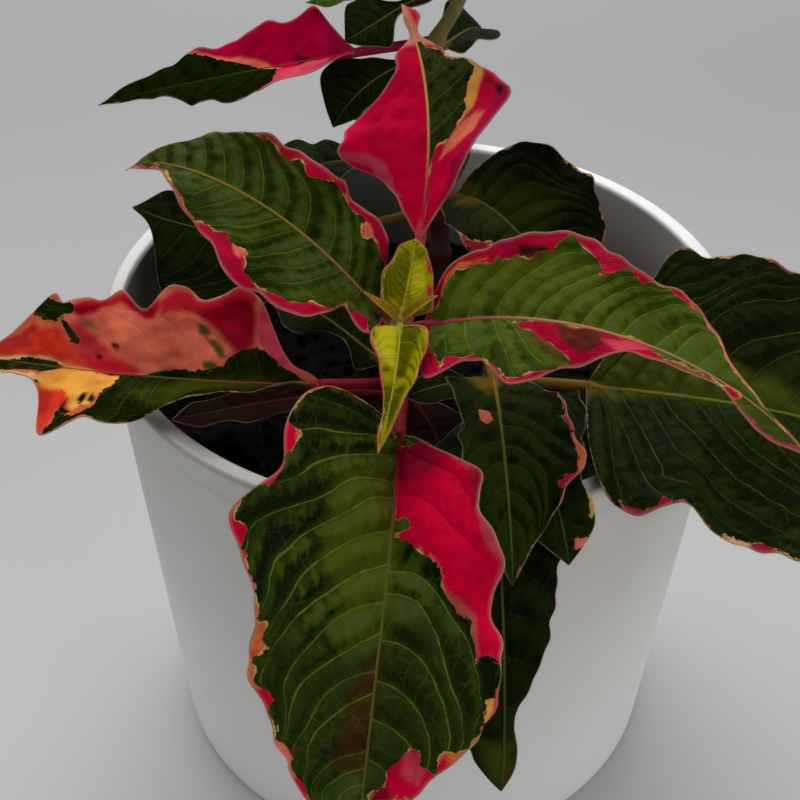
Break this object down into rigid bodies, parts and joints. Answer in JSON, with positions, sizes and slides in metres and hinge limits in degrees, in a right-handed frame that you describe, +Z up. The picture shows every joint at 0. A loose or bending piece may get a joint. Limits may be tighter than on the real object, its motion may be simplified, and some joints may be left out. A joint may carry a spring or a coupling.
{
  "type": "potted alternanthera",
  "caption": "Potted alternanthera with wavy green and pink variegated leaves on short stems in a soil-filled white tapered round cover pot.",
  "frame": {"origin": "centre of the pot's flat underside, on the surface that the pot stands on", "axes": "+Z up along the pot's axis; -Y towards the side that the picture was taken from; +X to the right there"},
  "size_m": [0.2032, 0.2123, 0.2082],
  "materials": {
    "pot_white": "satin white",
    "soil_dark": "crumbly dark potting soil",
    "stem": "fine-haired red-brown stem",
    "leaf_green": "satin dark green leaf with pink and cream margin",
    "leaf_fresh": "satin olive green leaf with pink margin",
    "leaf_pink": "satin leaf, mostly crimson pink",
    "leaf_salmon": "satin leaf, one half salmon red, one half green",
    "leaf_young": "small yellow-green young leaf",
    "leaf_dull": "dull brown-red leaf"
  },
  "bodies": {
    "root": {"pot": "pot_white", "soil": "soil_dark", "stem_main": "stem", "stem_side": "stem", "stem_back": "stem", "leaf_front": "leaf_green", "leaf_right": "leaf_fresh", "leaf_upper_left": "leaf_fresh", "leaf_upright": "leaf_pink", "leaf_left": "leaf_salmon", "leaf_lower_right": "leaf_green", "leaf_young_back": "leaf_young", "leaf_young_front": "leaf_young", "leaf_front_right": "leaf_green", "leaf_top_left": "leaf_pink", "leaf_hanging": "leaf_green", "leaf_corner": "leaf_green", "leaf_back_right": "leaf_green", "leaf_back_left": "leaf_green", "leaf_back": "leaf_green", "leaf_top_under": "leaf_green", "leaf_top_right": "leaf_green", "leaf_top_back": "leaf_green", "leaf_top_green": "leaf_green", "leaf_inner_left": "leaf_green", "leaf_inner_right": "leaf_green", "leaf_inner_front": "leaf_dull", "leaf_low_left": "leaf_green", "leaf_rear": "leaf_green", "leaf_rear_right": "leaf_green", "leaf_crown_back": "leaf_green", "leaf_crown_front": "leaf_green", "leaf_crown_left": "leaf_young", "leaf_crown_right": "leaf_young"}
  },
  "joints": []
}
